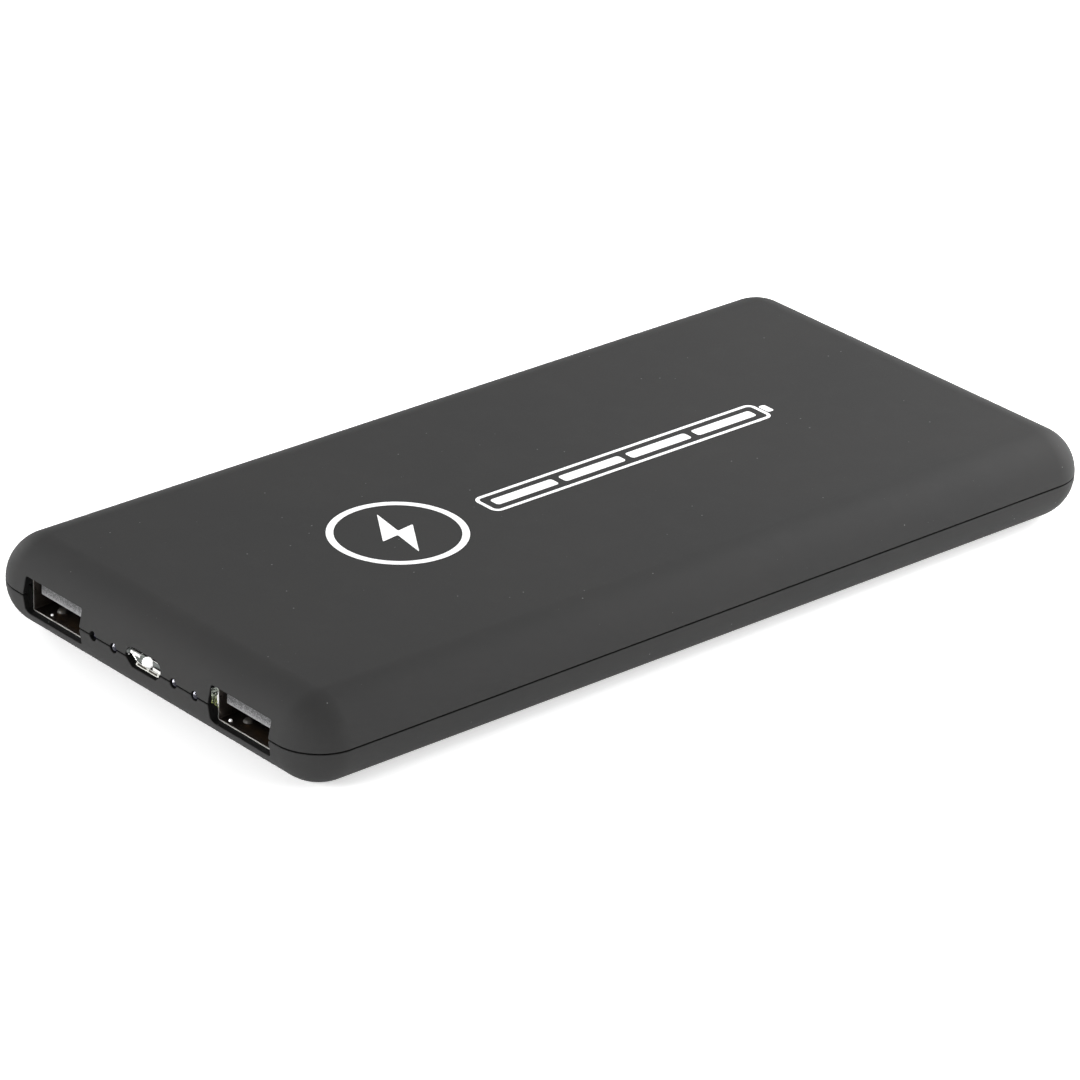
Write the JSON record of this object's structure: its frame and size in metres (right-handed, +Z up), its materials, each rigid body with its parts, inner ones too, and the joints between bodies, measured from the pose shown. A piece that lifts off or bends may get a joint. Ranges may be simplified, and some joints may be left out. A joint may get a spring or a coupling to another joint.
{
  "type": "power bank",
  "caption": "Slim rounded slab that stores electric charge, with two full-size and one small charging socket, gauge lights along the seam at one end and a push button in one side.",
  "frame": {"origin": "centre of the flat underside's bounding box, on the surface that it lies on", "axes": "+X across the width, +Y along the length from the socket end to the plain end, +Z up out of the top face"},
  "size_m": [0.075, 0.1514, 0.014],
  "materials": {
    "soft_touch_shell": "matte",
    "button_plastic": "satin",
    "socket_metal": "satin",
    "socket_plastic": "matte",
    "black_plastic": "matte",
    "contact_gold": "satin",
    "board_green": "satin",
    "light_body": "satin",
    "clear_lens": "gloss",
    "cell_pouch": "satin",
    "nickel": "satin",
    "foam": "matte",
    "ferrite": "matte",
    "capacitor_can": "satin",
    "screw_steel": "satin"
  },
  "bodies": {
    "body": {"battery_cell_lower": "cell_pouch", "battery_cell_upper": "cell_pouch", "board_screw_1": "screw_steel", "board_screw_2": "screw_steel", "board_screw_3": "screw_steel", "bottom_cover": "soft_touch_shell", "cell_tape": "foam", "circuit_board": "board_green", "control_chip": "black_plastic", "gauge_light_1": "light_body", "gauge_light_2": "light_body", "gauge_light_3": "light_body", "gauge_light_4": "light_body", "inductor": "ferrite", "light_lens_1": "clear_lens", "light_lens_2": "clear_lens", "light_lens_3": "clear_lens", "light_lens_4": "clear_lens", "lower_foam_pad": "foam", "lower_negative_tab": "nickel", "lower_positive_tab": "nickel", "micro_usb_contact_1": "contact_gold", "micro_usb_contact_2": "contact_gold", "micro_usb_contact_3": "contact_gold", "micro_usb_contact_4": "contact_gold", "micro_usb_contact_5": "contact_gold", "micro_usb_insulator": "black_plastic", "micro_usb_shell": "socket_metal", "output_capacitor_1": "capacitor_can", "output_capacitor_2": "capacitor_can", "power_chip": "black_plastic", "sense_resistor": "black_plastic", "switch_body": "black_plastic", "switch_dome": "nickel", "top_cover": "soft_touch_shell", "upper_foam_pad": "foam", "upper_negative_tab": "nickel", "upper_positive_tab": "nickel", "usb_a_left_contact_1": "contact_gold", "usb_a_left_contact_2": "contact_gold", "usb_a_left_contact_3": "contact_gold", "usb_a_left_contact_4": "contact_gold", "usb_a_left_insulator": "socket_plastic", "usb_a_left_shell": "socket_metal", "usb_a_right_contact_1": "contact_gold", "usb_a_right_contact_2": "contact_gold", "usb_a_right_contact_3": "contact_gold", "usb_a_right_contact_4": "contact_gold", "usb_a_right_insulator": "socket_plastic", "usb_a_right_shell": "socket_metal"},
    "power_button": {"power_button": "button_plastic"},
    "switch_plunger": {"switch_plunger": "socket_plastic"}
  },
  "joints": [
    {"name": "button_press", "type": "slide", "parent": "body", "child": "power_button", "axis": [1, 0, 0], "range_m": [0, 0.00035], "stiffness_N_per_m": 3000},
    {"name": "plunger_press", "type": "slide", "parent": "body", "child": "switch_plunger", "axis": [1, 0, 0], "range_m": [0, 0.00035]}
  ],
  "couplings": [
    {"joint": "plunger_press", "follows": "button_press", "ratio": 1}
  ]
}
